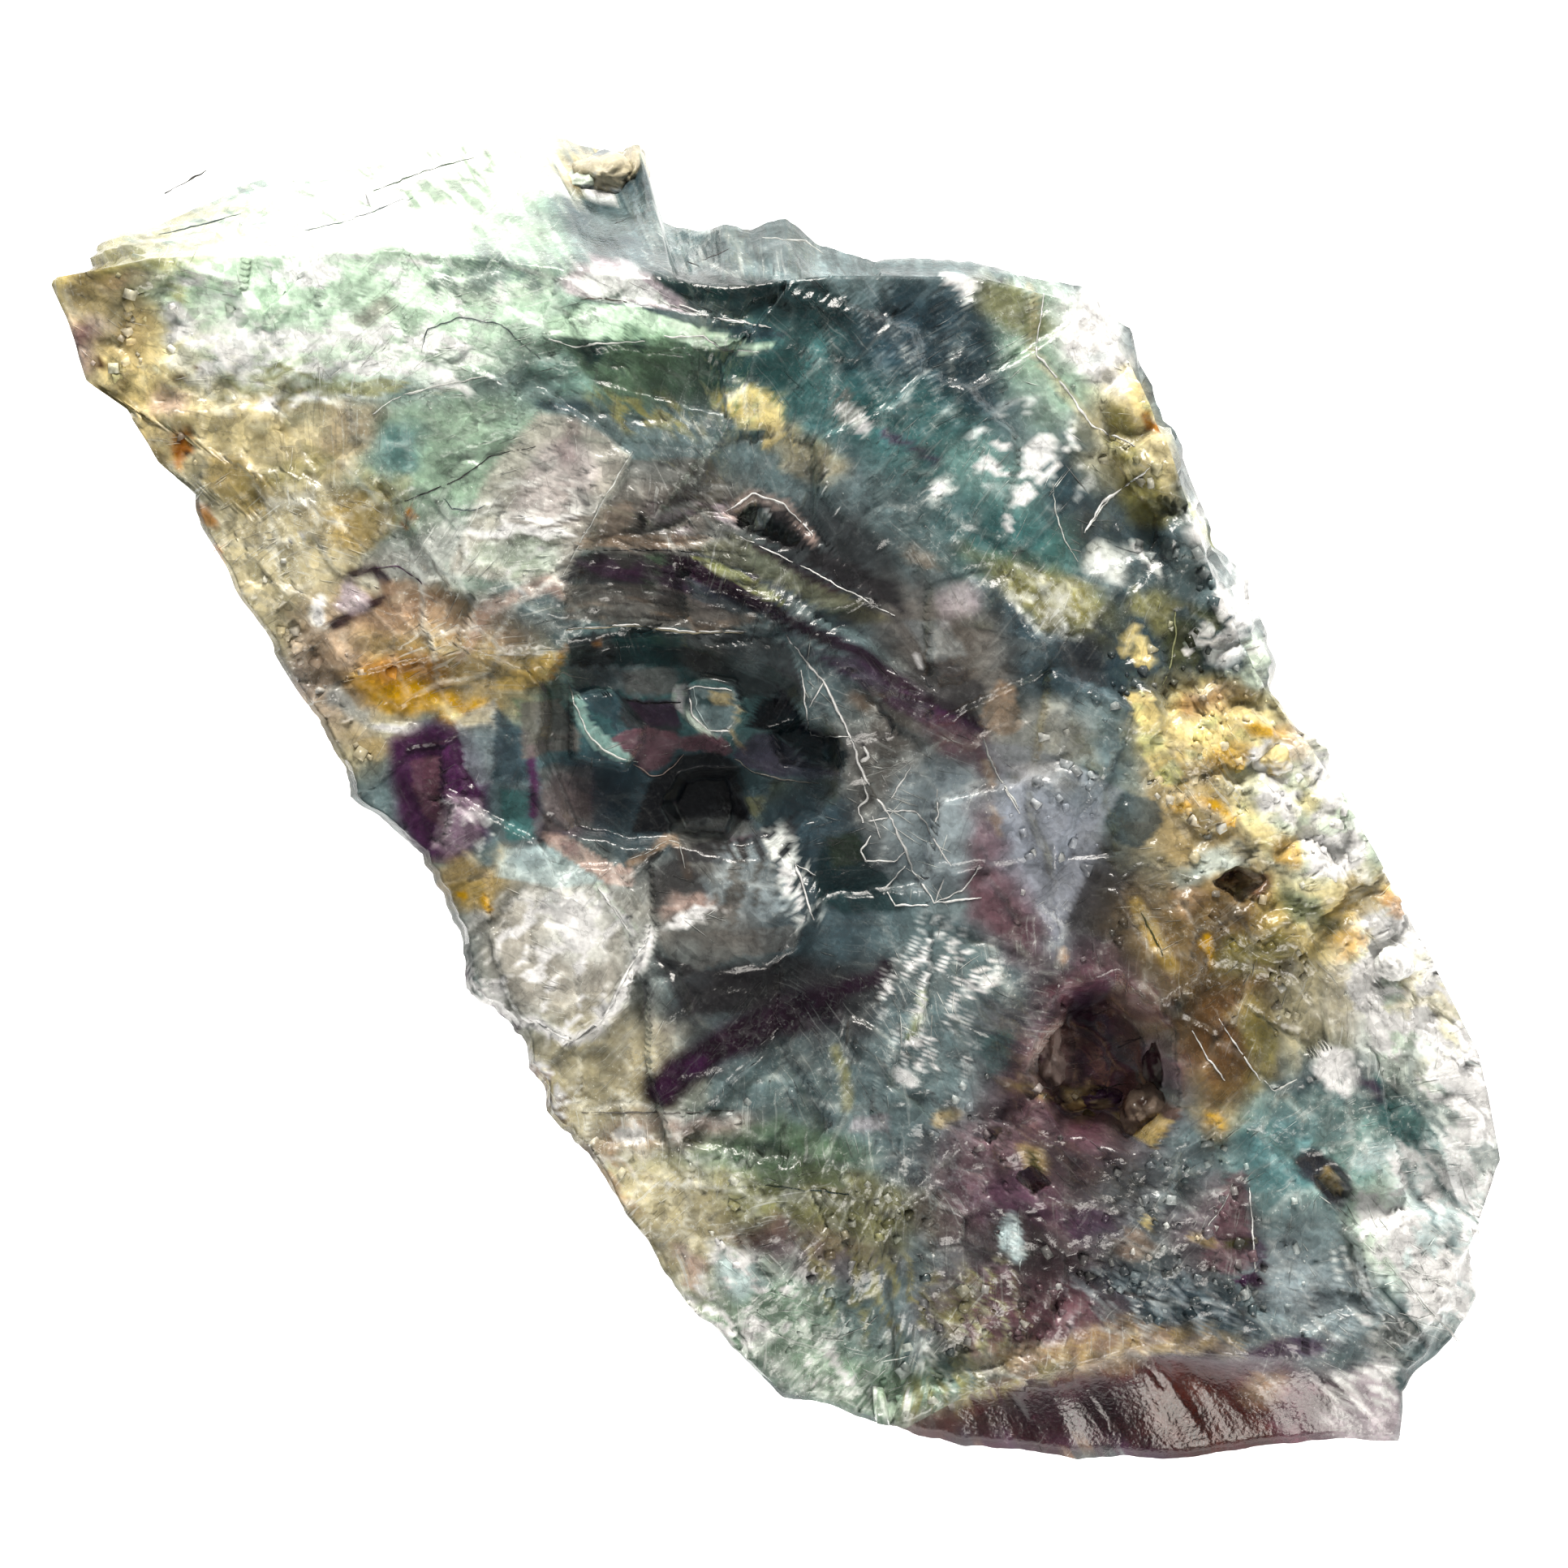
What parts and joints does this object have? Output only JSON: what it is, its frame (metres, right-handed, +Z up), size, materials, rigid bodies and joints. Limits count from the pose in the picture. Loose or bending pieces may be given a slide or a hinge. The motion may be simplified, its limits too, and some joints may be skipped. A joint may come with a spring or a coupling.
{
  "type": "rough rainbow fluorite specimen",
  "caption": "Rough broken slab of clear, colour-banded fluorite with a stepped and pitted face, lying on its flat back.",
  "frame": {"origin": "middle of the stone's box, on the surface that it rests on", "axes": "+X along the stone's long way, +Z up out of its stepped broad face, +Y across it"},
  "size_m": [0.0726, 0.0416, 0.0183],
  "materials": {
    "rainbow_fluorite": "broken, glossy on its cleavage faces and sugary where it is crumbly, clear inside with green, plum and honey bands"
  },
  "bodies": {
    "root": {"fluorite_chunk": "rainbow_fluorite"}
  },
  "joints": []
}
